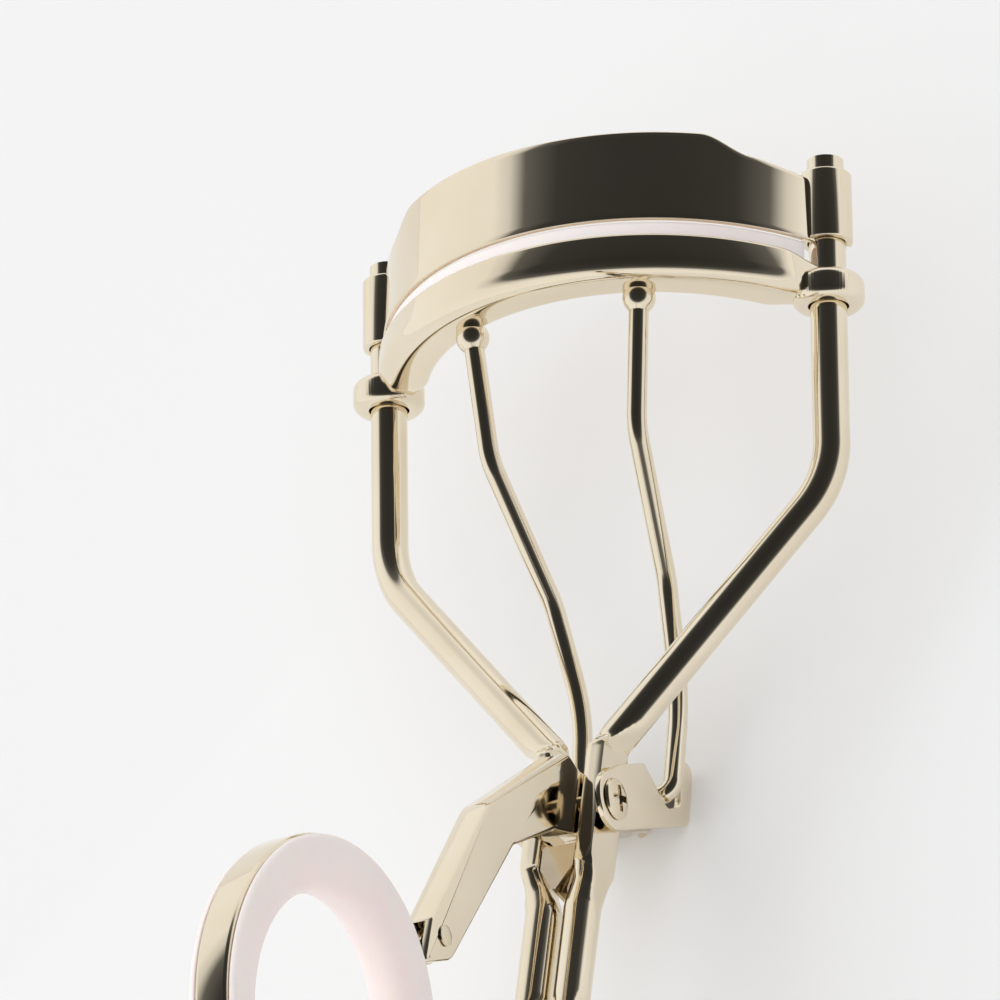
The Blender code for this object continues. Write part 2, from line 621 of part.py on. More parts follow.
# ---------------------------------------------------------------- lever
def make_lever():
    """Stamped lever: solid head on the pivot, tail back to the yoke, channel-shaped arm."""
    tail_floor = WEB_THICKNESS + SEAT_GAP
    start = math.asin(TAIL_TOP / LEVER_HEAD_RADIUS) + EAR_ANGLE
    crown = [(LEVER_HEAD_RADIUS * math.cos(a), LEVER_HEAD_RADIUS * math.sin(a))
             for a in [start + (math.radians(20.0) - start) * step / 10 for step in range(11)]]
    chin_end = EAR_ANGLE - math.pi + math.acos(-TAIL_BOTTOM / LEVER_HEAD_RADIUS) + math.pi / 2
    chin = [(LEVER_HEAD_RADIUS * math.cos(a), LEVER_HEAD_RADIUS * math.sin(a))
            for a in [-math.pi + (chin_end + math.pi) * step / 6 for step in range(7)]]
    arm = rounded([(*crown[-1], 0.0), (2.9, 2.9, 0.0), (-7.7, 12.5, 0.0), (-20.6, 17.6, 0.0),
                   (-24.8, 17.9, 0.0), (-22.4, 14.4, 0.0), (-8.6, 8.2, 0.0), (-4.2, 3.3, 0.0),
                   (*chin[0], 0.0)], [0.5, 4.5, 0.6, 0.3, 2.2, 1.5, 0.8], 5)
    outline = crown[:-1] + [point[:2] for point in arm[:-1]] + chin
    outline += [rest_point(TAIL_BOTTOM, tail_floor), rest_point(TAIL_TOP, tail_floor)]
    lever = slab("lever_arm", [outline], 2 * LEVER_HALF_WIDTH, frame,
                 metal("lever_arm", CHAMPAGNE, 0.1))
    for side in (-1, 1):
        cut(lever, block(f"arm_side_{side}", (2.0, 30.0, 40.0), frame,
                         (side * (ARM_HALF_WIDTH + 1.0), ARM_START_V - 15.0, 12.0)))
    soften(lever, 0.3, 1)
    channel = slab("lever_channel",
                   [[(-3.4, 6.9), (-8.0, 11.4), (-21.0, 16.95), (-21.1, 22.0), (-30.0, 22.0),
                     (-30.0, 8.0), (-8.0, 1.0), (-5.6, 4.4)]],
                   2 * (ARM_HALF_WIDTH - ARM_WALL), frame)
    bore = drum("lever_bore", SCREW_RADIUS + SEAT_GAP, 8.0, frame)
    rivet_bore = drum("lever_ring_rivet_bore", RIVET_RADIUS + SEAT_GAP, 8.0, lever_ring_frame, None,
                      (0.0, lever_rivet_along, LEVER_TAB_ACROSS))
    yoke_bore = drum("lever_yoke_rivet_bore", RIVET_RADIUS + SEAT_GAP,
                     2 * (WEB_THICKNESS + YOKE_RIVET_REACH + SEAT_GAP), web_frame, None,
                     (0.0, yoke_rivet_y, REST_LEVEL), 'W')
    cut(lever, channel, bore, rivet_bore, yoke_bore)


def make_screw(name, side):
    """Pivot screw: shank through ear and rail into the lever head, low head with a cross."""
    seat = EAR_OUTER_X + SEAT_GAP
    overlap = 0.1
    shank_length = seat + overlap - SCREW_TIP_X
    screw = drum(name, SCREW_HEAD_RADIUS, SCREW_HEAD_HEIGHT, frame, metal(name, CHAMPAGNE, 0.15),
                 (side * (seat + SCREW_HEAD_HEIGHT / 2), 0.0, 0.0))
    soften(screw, 0.18)
    shank = drum(name + "_shank", SCREW_RADIUS, shank_length, frame, None,
                 (side * (SCREW_TIP_X + shank_length / 2), 0.0, 0.0))
    join(screw, shank)
    place = (side * (seat + SCREW_HEAD_HEIGHT), 0.0, 0.0)
    for turn in (0.0, math.pi / 2):
        slot = block(f"{name}_slot_{turn:.1f}", (2 * RECESS_DEPTH, RECESS_WIDTH, 2 * RECESS_REACH),
                     frame, place, (turn + 0.4, 0.0, 0.0))
        cut(screw, slot)


# ---------------------------------------------------------------- finger rings
def make_ring(name, ring_frame, tab_across, tab_half_thickness, tab_reach):
    """Oval metal band with a flat tongue, and a grommet that lines it and laps its edges."""
    band = slab(name, [oval(RING_LONG, RING_SHORT),
                       oval(RING_LONG - BAND_THICKNESS, RING_SHORT - BAND_THICKNESS)],
                2 * BAND_HALF_WIDTH, ring_frame, metal(name, CHAMPAGNE, 0.1))
    soften(band, 0.25)
    root = RING_LONG * math.sqrt(1 - (tab_across / RING_SHORT) ** 2) - BAND_THICKNESS / 2
    tip = RING_LONG + tab_reach
    tongue = slab(name + "_tongue",
                  [rounded_outline([(root, tab_across - TAB_HALF_WIDTH),
                                    (tip, tab_across - TAB_HALF_WIDTH),
                                    (tip, tab_across + TAB_HALF_WIDTH),
                                    (root, tab_across + TAB_HALF_WIDTH)],
                                   [0.05, TAB_HALF_WIDTH * 0.95, TAB_HALF_WIDTH * 0.95, 0.05])],
                  2 * tab_half_thickness, ring_frame)
    bore = drum(name + "_rivet_bore", RIVET_RADIUS + SEAT_GAP, 10.0, ring_frame, None,
                (0.0, tip - TAB_HALF_WIDTH, tab_across))
    join(band, tongue)
    cut(band, bore)
    grip_long = RING_LONG - GRIP_INSET
    grip_short = RING_SHORT - GRIP_INSET
    grip = slab(name + "_grip", [oval(grip_long, grip_short),
                                 oval(RING_LONG - GRIP_THICKNESS, RING_SHORT - GRIP_THICKNESS)],
                2 * GRIP_HALF_WIDTH, ring_frame, rubber(name + "_grip", PALE_PINK))
    inner = BAND_THICKNESS + SEAT_GAP
    seat = slab(name + "_grip_seat",
                [oval(RING_LONG + 2.0, RING_SHORT + 2.0), oval(RING_LONG - inner, RING_SHORT - inner)],
                2 * (BAND_HALF_WIDTH + SEAT_GAP), ring_frame)
    soften(grip, 0.5)
    cut(grip, seat)


def make_rivet(name, ring_frame, along, across, half_length):
    """Plain rivet with a low round head at each end."""
    total = 2 * (half_length + SEAT_GAP + RIVET_HEAD_HEIGHT)
    rivet = drum(name, RIVET_RADIUS, total, ring_frame, metal(name, CHAMPAGNE, 0.15),
                 (0.0, along, across))
    for side in (-1, 1):
        head = drum(f"{name}_head_{side}", RIVET_HEAD_RADIUS, RIVET_HEAD_HEIGHT, ring_frame, None,
                    (side * (total - RIVET_HEAD_HEIGHT) / 2, along, across))
        soften(head, 0.15, 1)
        join(rivet, head)


lever_rivet_along = RING_LONG + LEVER_TAB_REACH - TAB_HALF_WIDTH
lever_ring_v = (LEVER_RIVET_PLACE[0] - lever_rivet_along * math.cos(LEVER_RING_TILT)
                + LEVER_TAB_ACROSS * math.sin(LEVER_RING_TILT))
lever_ring_w = (LEVER_RIVET_PLACE[1] - lever_rivet_along * math.sin(LEVER_RING_TILT)
                - LEVER_TAB_ACROSS * math.cos(LEVER_RING_TILT))
lever_ring_frame = datum("lever_ring_frame", frame, lever_ring_v, lever_ring_w, LEVER_RING_TILT)
make_lever()
make_screw("left_pivot_screw", -1)
make_screw("right_pivot_screw", 1)
thumb_ring_frame = datum("thumb_ring_frame", frame, THUMB_RING_V, RAIL_PLANE_W)
make_ring("lever_ring", lever_ring_frame, LEVER_TAB_ACROSS,
          ARM_HALF_WIDTH - ARM_WALL - SEAT_GAP, LEVER_TAB_REACH)
make_rivet("lever_ring_rivet", lever_ring_frame, lever_rivet_along, LEVER_TAB_ACROSS,
           ARM_HALF_WIDTH)
make_ring("thumb_ring", thumb_ring_frame, 0.0, ROD_GRIP_INNER_X - SEAT_GAP, THUMB_TAB_REACH)
make_rivet("thumb_ring_rivet", thumb_ring_frame, RING_LONG + THUMB_TAB_REACH - TAB_HALF_WIDTH, 0.0,
           ROD_GRIP_OUTER_X)

# ---------------------------------------------------------------- resting pose
frame.rotation_euler = (-REST_TILT, 0.0, 0.0)
frame.location = (0.0, -(REAR_Y + FRONT_Y) / 2 * MM, -REST_LEVEL * MM)
bpy.context.view_layer.update()
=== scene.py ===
"""Eyelash curler in champagne-plated steel with a silicone lash pad and soft finger grommets,
lying on a pale table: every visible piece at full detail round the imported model.
"""
import math

import bmesh
import bpy
from mathutils import Matrix, Vector


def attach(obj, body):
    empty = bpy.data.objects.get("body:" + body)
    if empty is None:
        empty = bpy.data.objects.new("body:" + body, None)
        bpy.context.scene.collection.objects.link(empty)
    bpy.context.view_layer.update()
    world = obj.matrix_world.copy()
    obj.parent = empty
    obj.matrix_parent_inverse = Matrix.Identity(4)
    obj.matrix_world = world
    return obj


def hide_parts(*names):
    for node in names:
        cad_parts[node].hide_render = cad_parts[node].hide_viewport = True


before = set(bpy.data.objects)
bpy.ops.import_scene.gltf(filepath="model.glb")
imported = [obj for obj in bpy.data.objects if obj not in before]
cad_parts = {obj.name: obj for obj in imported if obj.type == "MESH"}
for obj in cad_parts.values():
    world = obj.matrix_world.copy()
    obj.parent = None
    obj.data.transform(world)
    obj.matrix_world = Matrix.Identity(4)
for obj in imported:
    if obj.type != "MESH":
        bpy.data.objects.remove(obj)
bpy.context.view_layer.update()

# ---------------------------------------------------------------- rails
# Two steel wires, bent in a fixture and pressed flat where the pivot screws pass, then plated.
# Each runs from the top of its jaw rail through the flat lug to the thumb ring's rivet.
MM = 0.001
HANDLE_TILT = math.radians(-4.1)
handle = (Matrix.Translation((0.0, 1.3912 * MM, 10.9611 * MM))
          @ Matrix.Rotation(HANDLE_TILT, 4, 'X'))
RAIL_RADIUS = 1.375
RAIL_HALF_SPACING = 18.6
RAIL_LEVEL = -1.1
JAW_RAIL_LENGTH = 25.55
JAW_LEAN = math.radians(13.5)
KNEE_V = 25.7
LUG_X = 2.2
LUG_TOP_V = 5.5
LUG_BOTTOM_V = -5.2
LUG_HALF_THICKNESS = 0.75
LUG_FRONT = 0.85
ROD_X = 1.6
ROD_TOP_V = -8.2
ROD_END_V = -22.2


def ease(value, start, end):
    """0 up to start, 1 from end on, smooth between them; start may be above or below end."""
    share = min(1.0, max(0.0, (value - start) / (end - start)))
    return share * share * (3 - 2 * share)


def filleted(points, radii, steps):
    """An open path whose inner corners are replaced by arcs of the given radii."""
    corners = [Vector(point) for point in points]
    path = [corners[0]]
    for before, corner, after, radius in zip(corners, corners[1:], corners[2:], radii):
        back = (before - corner).normalized()
        ahead = (after - corner).normalized()
        half = back.angle(ahead) / 2
        setback = radius / math.tan(half)
        centre = corner + (back + ahead).normalized() * (radius / math.sin(half))
        start = (corner + back * setback - centre).normalized()
        finish = (corner + ahead * setback - centre).normalized()
        for step in range(steps + 1):
            path.append(centre + start.slerp(finish, step / steps) * radius)
    path.append(corners[-1])
    return path


def tube(path, radius, sides):
    """A round wire with capped ends along a path, with rings about half a millimetre apart."""
    curve = bpy.data.curves.new("wire", 'CURVE')
    curve.dimensions = '3D'
    curve.bevel_depth = radius
    curve.bevel_resolution = sides
    curve.use_fill_caps = True
    dense = [path[0]]
    for start, end in zip(path, path[1:]):
        count = max(1, round((end - start).length / 0.5))
        dense += [start.lerp(end, step / count) for step in range(1, count + 1)]
    spline = curve.splines.new('POLY')
    spline.points.add(len(dense) - 1)
    for point, place in zip(spline.points, dense):
        point.co = (*place, 1.0)
    holder = bpy.data.objects.new("wire", curve)
    bpy.context.scene.collection.objects.link(holder)
    bpy.context.view_layer.update()
    shape = bmesh.new()
    shape.from_mesh(holder.evaluated_get(bpy.context.evaluated_depsgraph_get()).to_mesh())
    bpy.data.objects.remove(holder)
    bmesh.ops.remove_doubles(shape, verts=shape.verts, dist=0.0001)
    return shape


def plating(name, light, dark, roughness, ripple):
    """Bright plating: slow colour drift, faint smears in the gloss and a barely wavy surface."""
    material = bpy.data.materials.new(name)
    material.use_nodes = True
    nodes = material.node_tree.nodes
    links = material.node_tree.links
    shader = nodes["Principled BSDF"]
    shader.inputs["Metallic"].default_value = 1.0
    place = nodes.new("ShaderNodeTexCoord")
    drift = nodes.new("ShaderNodeTexNoise")
    drift.inputs["Scale"].default_value = 90.0
    drift.inputs["Detail"].default_value = 3.0
    tone = nodes.new("ShaderNodeValToRGB")
    tone.color_ramp.elements[0].position = 0.3
    tone.color_ramp.elements[0].color = (*dark, 1.0)
    tone.color_ramp.elements[1].position = 0.7
    tone.color_ramp.elements[1].color = (*light, 1.0)
    smear = nodes.new("ShaderNodeTexNoise")
    smear.inputs["Scale"].default_value = 420.0
    smear.inputs["Detail"].default_value = 5.0
    gloss = nodes.new("ShaderNodeMapRange")
    gloss.inputs["From Min"].default_value = 0.35
    gloss.inputs["From Max"].default_value = 0.75
    gloss.inputs["To Min"].default_value = roughness
    gloss.inputs["To Max"].default_value = roughness * 1.7
    wave = nodes.new("ShaderNodeTexNoise")
    wave.inputs["Scale"].default_value = 260.0
    wave.inputs["Detail"].default_value = 1.0
    bump = nodes.new("ShaderNodeBump")
    bump.inputs["Strength"].default_value = ripple
    bump.inputs["Distance"].default_value = 0.0002
    for texture in (drift, smear, wave):
        links.new(place.outputs["Object"], texture.inputs["Vector"])
    links.new(drift.outputs["Fac"], tone.inputs["Fac"])
    links.new(tone.outputs["Color"], shader.inputs["Base Color"])
    links.new(smear.outputs["Fac"], gloss.inputs["Value"])
    links.new(gloss.outputs["Result"], shader.inputs["Roughness"])
    links.new(wave.outputs["Fac"], bump.inputs["Height"])
    links.new(bump.outputs["Normal"], shader.inputs["Normal"])
    return material


def place_piece(name, shape, place, body, nodes, material, sharp=35.0):
    """Put a shape drawn in millimetres on its body, in the place of the nodes it stands for."""
    bmesh.ops.transform(shape, matrix=place @ Matrix.Scale(MM, 4), verts=shape.verts)
    bmesh.ops.recalc_face_normals(shape, faces=shape.faces)
    for face in shape.faces:
        face.smooth = True
    for edge in shape.edges:
        edge.smooth = len(edge.link_faces) == 2 and edge.calc_face_angle() < math.radians(sharp)
    mesh = bpy.data.meshes.new(name)
    shape.to_mesh(mesh)
    shape.free()
    mesh.materials.append(material)
    piece = bpy.data.objects.new(name, mesh)
    bpy.context.scene.collection.objects.link(piece)
    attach(piece, body)
    if nodes:
        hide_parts(*nodes)
    return piece


CHAMPAGNE = (0.86, 0.775, 0.62)
CHAMPAGNE_DEEP = (0.80, 0.70, 0.53)
rail_plating = plating("rail_plating", CHAMPAGNE, CHAMPAGNE_DEEP, 0.045, 0.04)


def pressed_lug(shape, side):
    """Flatten the wire at the pivot, and its inner side again where the ring is riveted.

    lug is 1 over the widened flat, thin is 1 where the wire is pressed thin, and seat is 1
    along the end that holds the ring's tongue.
    """
    for vert in shape.verts:
        x, v, w = side * vert.co.x, vert.co.y, vert.co.z
        lug = ease(v, 6.0, 4.6) * ease(v, -6.6, -4.6)
        thin = ease(v, 6.6, 5.0) * ease(v, -9.5, -5.0)
        seat = ease(v, -16.0, -17.2)
        centre = LUG_X - (LUG_X - ROD_X) * ease(v, LUG_BOTTOM_V, ROD_TOP_V)
        if 6.6 > v > -9.5:
            half = RAIL_RADIUS - (RAIL_RADIUS - LUG_HALF_THICKNESS) * thin
            offset = x - centre
            if v > LUG_TOP_V:
                offset = x - (centre + (v - LUG_TOP_V) * 0.812)
            x += max(-half, min(half, offset)) - offset
            w = RAIL_LEVEL + 0.1 * lug + (w - RAIL_LEVEL) * (1 + 0.6 * lug)
            w -= lug * max(0.0, w - LUG_FRONT)
        if seat > 0.0:
            x += seat * (max(-0.6, min(1.0, x - ROD_X)) - (x - ROD_X))
        vert.co = (side * x, v, w)


for side, name in ((-1, "left_rail"), (1, "right_rail")):
    path = filleted([(side * RAIL_HALF_SPACING, KNEE_V + JAW_RAIL_LENGTH * math.cos(JAW_LEAN),
                      RAIL_LEVEL + JAW_RAIL_LENGTH * math.sin(JAW_LEAN)),
                     (side * RAIL_HALF_SPACING, KNEE_V, RAIL_LEVEL),
                     (side * LUG_X, LUG_TOP_V, RAIL_LEVEL),
                     (side * LUG_X, LUG_BOTTOM_V, RAIL_LEVEL),
                     (side * ROD_X, ROD_TOP_V, RAIL_LEVEL),
                     (side * ROD_X, ROD_END_V, RAIL_LEVEL)],
                    [8.0, 3.0, 3.0, 3.0], 20)
    rail = tube(path, RAIL_RADIUS, 10)
    pressed_lug(rail, side)
    place_piece(name + "_wire", rail, handle, "frame", [name], rail_plating, 50.0)

# ---------------------------------------------------------------- spacer block
# Small five-sided steel block between the two lugs, just below the lever's head.
# It is cut from bar, left a little rougher than the wires, and plated with them; its colour is a
# darker champagne, painted shade for the gap between the lugs.


def plate_node(name, material):
    """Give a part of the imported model, whose shape is already right, its plating."""
    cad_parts[name].data.materials.clear()
    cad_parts[name].data.materials.append(material)


# The darker champagne is painted shade between the lugs; the higher roughness and ripple are the
# block's own finish.
spacer_painted_shade_plating = plating("spacer_painted_shade_plating", (0.70, 0.60, 0.45), (0.60, 0.50, 0.36), 0.16, 0.12)
plate_node("spacer_block", spacer_painted_shade_plating)

# ---------------------------------------------------------------- upper jaw
# A thin arched plate, blanked with a stepped top edge and rolled to the arc of the jaws.
# Its ends are curled round the rails into short open barrels that hold it there.
JAW_V = 40.19
JAW_W = 2.38
jaw = (handle @ Matrix.Translation((0.0, JAW_V * MM, JAW_W * MM))
       @ Matrix.Rotation(JAW_LEAN, 4, 'X'))
arc = jaw @ Matrix.Rotation(math.radians(-4.0), 4, 'X')
ARC_RADIUS = 20.5
ARC_CENTRE = -8.62
PLATE_HALF_WIDTH = 18.2
PLATE_BOTTOM = 3.62
PLATE_THICKNESS = 0.5


def plate_top(x):
    """Height of the plate's upper edge: flat in the middle, an S-shaped step, a low shoulder."""
    reach = abs(x)
    return 10.9 - 1.45 * ease(reach, 12.0, 15.0) - 0.28 * max(0.0, reach - 15.0)


plate = bmesh.new()
bmesh.ops.create_grid(plate, x_segments=144, y_segments=14, size=1.0)
half_angle = math.asin(PLATE_HALF_WIDTH / ARC_RADIUS)
plate_radius = ARC_RADIUS + PLATE_THICKNESS
for vert in plate.verts:
    angle = half_angle * vert.co.x
    top = plate_top(ARC_RADIUS * math.sin(angle))
    height = PLATE_BOTTOM + (top - PLATE_BOTTOM) * (vert.co.y + 1.0) / 2
    vert.co = (plate_radius * math.sin(angle), height,
               ARC_CENTRE + plate_radius * math.cos(angle))
bmesh.ops.recalc_face_normals(plate, faces=plate.faces)
middle = min(plate.faces, key=lambda face: face.calc_center_median().x ** 2)
if middle.normal.z < 0:
    bmesh.ops.reverse_faces(plate, faces=plate.faces)
bmesh.ops.solidify(plate, geom=plate.faces, thickness=PLATE_THICKNESS)
rims = [edge for edge in plate.edges
        if edge.is_manifold and edge.calc_face_angle() > math.radians(50)]
bmesh.ops.bevel(plate, geom=rims, offset=0.13, segments=3, profile=0.5, affect='EDGES',
                material=-1)
plate_plating = plating("plate_plating", CHAMPAGNE, CHAMPAGNE_DEEP, 0.05, 0.03)
place_piece("upper_jaw_plate", plate, arc, "frame", ["upper_jaw"], plate_plating)

BARREL_BORE = 1.44
BARREL_RADIUS = 1.93
BARREL_BOTTOM = 3.9
BARREL_TOP = 9.5
BARREL_WRAP = math.radians(332)
barrel_profile = filleted(
    [(BARREL_BORE, 6.0, 0.0), (BARREL_BORE, BARREL_BOTTOM, 0.0),
     (BARREL_RADIUS, BARREL_BOTTOM, 0.0), (BARREL_RADIUS, BARREL_TOP, 0.0),
     (BARREL_BORE, BARREL_TOP, 0.0), (BARREL_BORE, 6.0, 0.0)], [0.1, 0.22, 0.22, 0.1], 4)[:-1]
for side, name in ((-1, "left_barrel"), (1, "right_barrel")):
    barrel = bmesh.new()
    ring = [barrel.verts.new(point) for point in barrel_profile]
    face = barrel.faces.new(ring)
    slit = Matrix.Rotation(math.radians(90 - side * 20), 3, 'Y')
    bmesh.ops.rotate(barrel, verts=ring, cent=(0, 0, 0), matrix=slit)
    bmesh.ops.spin(barrel, geom=[face], cent=(0, 0, 0), axis=(0, 1, 0), angle=BARREL_WRAP,
                   steps=64)
    bmesh.ops.translate(barrel, verts=barrel.verts, vec=(side * RAIL_HALF_SPACING, 0.0, 0.0))
    place_piece(name, barrel, jaw, "frame", [], plate_plating)

# ---------------------------------------------------------------- lower jaw
# A rounded arched bar, die-formed with a groove along its top for the pad, and an eyelet at each
# end that slides on the rails.  Polished before plating.
bar_plating = plating("bar_plating", CHAMPAGNE, CHAMPAGNE_DEEP, 0.05, 0.04)
BAR_BOTTOM = -1.0
BAR_TOP = 2.25
BAR_FRONT = 0.85
BAR_BACK = -2.95
GROOVE_FLOOR = 1.65
GROOVE_FRONT = 0.4
GROOVE_BACK = -2.25
BAR_HALF_ANGLE = 61.5
BAR_STEPS = 120
bar = bmesh.new()
bar_profile = filleted([(-1.0, BAR_BOTTOM, 0.0), (BAR_FRONT, BAR_BOTTOM, 0.0),
                        (BAR_FRONT, BAR_TOP, 0.0), (GROOVE_FRONT, BAR_TOP, 0.0),
                        (GROOVE_FRONT, GROOVE_FLOOR, 0.0), (GROOVE_BACK, GROOVE_FLOOR, 0.0),
                        (GROOVE_BACK, BAR_TOP, 0.0), (BAR_BACK, BAR_TOP, 0.0),
                        (BAR_BACK, BAR_BOTTOM, 0.0), (-1.0, BAR_BOTTOM, 0.0)],
                       [1.5, 0.3, 0.12, 0.05, 0.05, 0.2, 0.3, 0.7], 8)[:-1]
angles = [math.radians(BAR_HALF_ANGLE * (2 * step / BAR_STEPS - 1))
          for step in range(BAR_STEPS + 1)]
rings = []
for angle in angles:
    pinch = ease(abs(math.degrees(angle)), 53.0, BAR_HALF_ANGLE)
    ring = []
    for offset, height, _ in bar_profile:
        radius = ARC_RADIUS + offset * (1 - 0.3 * pinch)
        ring.append(bar.verts.new((radius * math.sin(angle), height * (1 - 0.25 * pinch),
                                   ARC_CENTRE + radius * math.cos(angle))))
    rings.append(ring)
for one, two in zip(rings, rings[1:]):
    for index in range(len(bar_profile)):
        bar.faces.new((one[index - 1], one[index], two[index], two[index - 1]))
bar.faces.new(rings[0])
bar.faces.new(rings[-1])
place_piece("lower_jaw_bar", bar, arc, "jaw", ["lower_jaw"], bar_plating)

EYELET_BORE = RAIL_RADIUS + 0.1
EYELET_RADIUS = 2.7
EYELET_HALF_HEIGHT = 1.2
eyelet_profile = filleted([(EYELET_BORE, 0.0, 0.0), (EYELET_BORE, -EYELET_HALF_HEIGHT, 0.0),
                           (EYELET_RADIUS, -EYELET_HALF_HEIGHT, 0.0),
                           (EYELET_RADIUS, EYELET_HALF_HEIGHT, 0.0),
                           (EYELET_BORE, EYELET_HALF_HEIGHT, 0.0), (EYELET_BORE, 0.0, 0.0)],
                          [0.2, 0.75, 0.75, 0.2], 6)[:-1]
for side, name in ((-1, "left_eyelet"), (1, "right_eyelet")):
    eyelet = bmesh.new()
    face = eyelet.faces.new([eyelet.verts.new(point) for point in eyelet_profile])
    bmesh.ops.spin(eyelet, geom=[face], cent=(0, 0, 0), axis=(0, 1, 0), angle=math.tau, steps=72,
                   use_merge=True)
    bmesh.ops.translate(eyelet, verts=eyelet.verts, vec=(side * RAIL_HALF_SPACING, 0.0, 0.0))
    place_piece(name, eyelet, jaw, "jaw", [], bar_plating)

# ---------------------------------------------------------------- lash pad
# A strip of pale silicone pressed into the lower jaw's groove, with a softly rounded top edge.
# It is cut from an extrusion, and has a fine matt grain.


def silicone(name, light, dark, grain):
    """Pale silicone: soft drift in colour, satin gloss and a fine moulded grain."""
    material = bpy.data.materials.new(name)
    material.use_nodes = True
    nodes = material.node_tree.nodes
    links = material.node_tree.links
    shader = nodes["Principled BSDF"]
    shader.inputs["Subsurface Weight"].default_value = 0.25
    shader.inputs["Subsurface Scale"].default_value = 0.002
    place = nodes.new("ShaderNodeTexCoord")
    drift = nodes.new("ShaderNodeTexNoise")
    drift.inputs["Scale"].default_value = 70.0
    drift.inputs["Detail"].default_value = 3.0
    tone = nodes.new("ShaderNodeValToRGB")
    tone.color_ramp.elements[0].position = 0.3
    tone.color_ramp.elements[0].color = (*dark, 1.0)
    tone.color_ramp.elements[1].position = 0.7
    tone.color_ramp.elements[1].color = (*light, 1.0)
    fine = nodes.new("ShaderNodeTexNoise")
    fine.inputs["Scale"].default_value = 2600.0
    fine.inputs["Detail"].default_value = 4.0
    gloss = nodes.new("ShaderNodeMapRange")
    gloss.inputs["To Min"].default_value = 0.38
    gloss.inputs["To Max"].default_value = 0.55
    bump = nodes.new("ShaderNodeBump")
    bump.inputs["Strength"].default_value = grain
    bump.inputs["Distance"].default_value = 0.00005
    links.new(place.outputs["Object"], drift.inputs["Vector"])
    links.new(place.outputs["Object"], fine.inputs["Vector"])
    links.new(drift.outputs["Fac"], tone.inputs["Fac"])
    links.new(tone.outputs["Color"], shader.inputs["Base Color"])
    links.new(fine.outputs["Fac"], gloss.inputs["Value"])
    links.new(gloss.outputs["Result"], shader.inputs["Roughness"])
    links.new(fine.outputs["Fac"], bump.inputs["Height"])
    links.new(bump.outputs["Normal"], shader.inputs["Normal"])
    return material


PAD_PLAY = 0.06
PAD_TOP = BAR_TOP + 1.3
PAD_HALF_ANGLE = 58.5
pad_bottom = GROOVE_FLOOR + PAD_PLAY
pad_front = GROOVE_FRONT - PAD_PLAY
pad_back = GROOVE_BACK + PAD_PLAY
pad_profile = filleted([(-1.0, pad_bottom, 0.0), (pad_front, pad_bottom, 0.0),
                        (pad_front, PAD_TOP, 0.0), (pad_back, PAD_TOP, 0.0),
                        (pad_back, pad_bottom, 0.0), (-1.0, pad_bottom, 0.0)],
                       [0.1, 0.4, 0.4, 0.1], 6)[:-1]
pad = bmesh.new()
ring = [pad.verts.new((ARC_RADIUS + offset, height, 0.0)) for offset, height, _ in pad_profile]
face = pad.faces.new(ring)
pad_end = Matrix.Rotation(math.radians(-90 - PAD_HALF_ANGLE), 3, 'Y')
bmesh.ops.rotate(pad, verts=ring, cent=(0, 0, 0), matrix=pad_end)
bmesh.ops.spin(pad, geom=[face], cent=(0, 0, 0), axis=(0, 1, 0),
               angle=math.radians(2 * PAD_HALF_ANGLE), steps=110)
bmesh.ops.translate(pad, verts=pad.verts, vec=(0.0, 0.0, ARC_CENTRE))
pad_silicone = silicone("pad_silicone", (0.95, 0.87, 0.85), (0.92, 0.83, 0.81), 0.25)
place_piece("lash_pad_strip", pad, arc, "jaw", ["lash_pad"], pad_silicone)

# ---------------------------------------------------------------- link bail
# One thinner steel wire bent to a long U: a ball and a small collar swaged on each end hang in
# the lower jaw, and the crossbar at the bottom lies in the notches of the yoke.
bail_plating = plating("bail_plating", CHAMPAGNE, CHAMPAGNE_DEEP, 0.045, 0.04)
WIRE_RADIUS = 0.75
BALL_RADIUS = 1.25
BALL_X = 6.95
BALL_BELOW = 1.4
BALL_FORWARD = 7.8
ball_v = JAW_V - BALL_BELOW * math.cos(JAW_LEAN) - BALL_FORWARD * math.sin(JAW_LEAN)
ball_w = JAW_W - BALL_BELOW * math.sin(JAW_LEAN) + BALL_FORWARD * math.cos(JAW_LEAN)
leg = [(BALL_X, ball_v, ball_w), (6.15, 28.3, 6.7), (4.75, 20.8, -2.2), (4.0, 13.78, -7.08),
       (3.9, 5.63, -7.78)]
path = filleted(leg + [(-x, v, w) for x, v, w in reversed(leg)],
                [4.0, 6.0, 11.0, 1.0, 1.0, 11.0, 6.0, 4.0], 14)
place_piece("link_bail_wire", tube(path, WIRE_RADIUS, 8), handle, "bail", ["link_bail"],
            bail_plating, 50.0)


def turned(profile, axis, steps):
    """A solid turned on a lathe: an open line from pole to pole, carried once round the axis."""
    shape = bmesh.new()
    line = [shape.verts.new(point) for point in profile]
    edges = [shape.edges.new(pair) for pair in zip(line, line[1:])]
    bmesh.ops.spin(shape, geom=line + edges, cent=(0, 0, 0), axis=axis, angle=math.tau,
                   steps=steps, use_merge=True)
    bmesh.ops.remove_doubles(shape, verts=shape.verts, dist=0.0005)
    return shape


